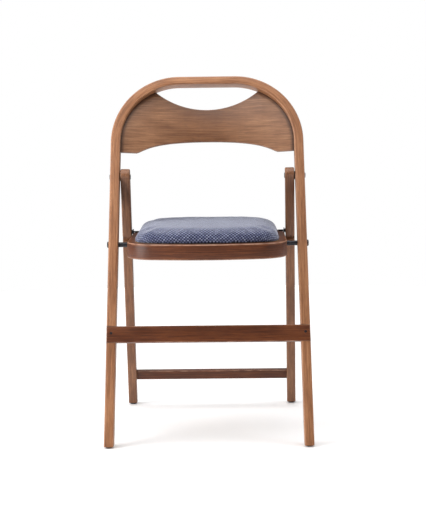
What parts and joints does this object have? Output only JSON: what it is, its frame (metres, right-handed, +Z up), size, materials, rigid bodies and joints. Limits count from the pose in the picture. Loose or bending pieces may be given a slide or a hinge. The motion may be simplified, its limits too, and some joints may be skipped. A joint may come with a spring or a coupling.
{
  "type": "folding chair",
  "caption": "Wooden folding chair with a bent one-piece front frame, curved plywood back, rear legs that swing forward and an upholstered seat that tips up flat.",
  "frame": {"origin": "on the floor, midway between the left and right feet and between the foremost and rearmost points of the open chair", "axes": "+Z up, +Y to the back of the chair, +X to the right when the chair is seen from the front"},
  "size_m": [0.4452, 0.4982, 0.7802],
  "materials": {
    "stained_wood": "satin mid-brown stain on straight-grained hardwood",
    "dark_wood": "satin dark-brown stain on the seat ring and the stretchers",
    "plain_wood": "unstained birch, out of sight",
    "seat_cloth": "coarse woven blue-grey melange upholstery cloth",
    "black_steel": "black oxide steel, low sheen",
    "black_nylon": "moulded black nylon"
  },
  "bodies": {
    "front_frame": {"bent_front_frame": "stained_wood", "back_panel": "stained_wood", "front_stretcher": "dark_wood", "stretcher_screw_left": "black_steel", "stretcher_screw_right": "black_steel", "upper_pivot_bolt_left": "black_steel", "upper_pivot_nut_left": "black_steel", "upper_pivot_washer_left": "black_nylon", "upper_pivot_bolt_right": "black_steel", "upper_pivot_nut_right": "black_steel", "upper_pivot_washer_right": "black_nylon", "seat_pivot_bolt_left": "black_steel", "seat_pivot_spacer_left": "black_steel", "seat_pivot_nut_left": "black_steel", "seat_pivot_bolt_right": "black_steel", "seat_pivot_spacer_right": "black_steel", "seat_pivot_nut_right": "black_steel", "front_glide_left": "black_nylon", "front_glide_right": "black_nylon"},
    "rear_legs": {"rear_leg_left": "stained_wood", "rest_pin_left": "black_steel", "rear_stretcher_dowel_left_1": "plain_wood", "rear_stretcher_dowel_left_2": "plain_wood", "rear_leg_right": "stained_wood", "rest_pin_right": "black_steel", "rear_stretcher_dowel_right_1": "plain_wood", "rear_stretcher_dowel_right_2": "plain_wood", "rear_stretcher": "dark_wood", "rear_glide_left": "black_nylon", "rear_glide_right": "black_nylon"},
    "seat": {"seat_ring": "dark_wood", "seat_pivot_bush_left": "black_nylon", "seat_pivot_bush_right": "black_nylon", "seat_base_panel": "plain_wood", "seat_cleat_front": "plain_wood", "seat_cleat_screw_front": "black_steel", "seat_cleat_back": "plain_wood", "seat_cleat_screw_back": "black_steel", "seat_cleat_left": "plain_wood", "seat_cleat_screw_left": "black_steel", "seat_cleat_right": "plain_wood", "seat_cleat_screw_right": "black_steel", "seat_cushion": "seat_cloth", "rest_hook_left": "black_steel", "rest_hook_screw_left_1": "black_steel", "rest_hook_screw_left_2": "black_steel", "rest_hook_screw_left_3": "black_steel", "rest_hook_right": "black_steel", "rest_hook_screw_right_1": "black_steel", "rest_hook_screw_right_2": "black_steel", "rest_hook_screw_right_3": "black_steel"}
  },
  "joints": [
    {"name": "seat_fold", "type": "hinge", "parent": "front_frame", "child": "seat", "pos_m": [0, -0.08231, 0.41808], "axis": [1, 0, 0], "range_deg": [0, 71.76]},
    {"name": "rear_leg_fold", "type": "hinge", "parent": "front_frame", "child": "rear_legs", "pos_m": [0, -0.03467, 0.56263], "axis": [1, 0, 0], "range_deg": [-40.1, 0]}
  ],
  "couplings": [
    {"joint": "rear_leg_fold", "follows": "seat_fold", "ratio": -0.55741}
  ]
}
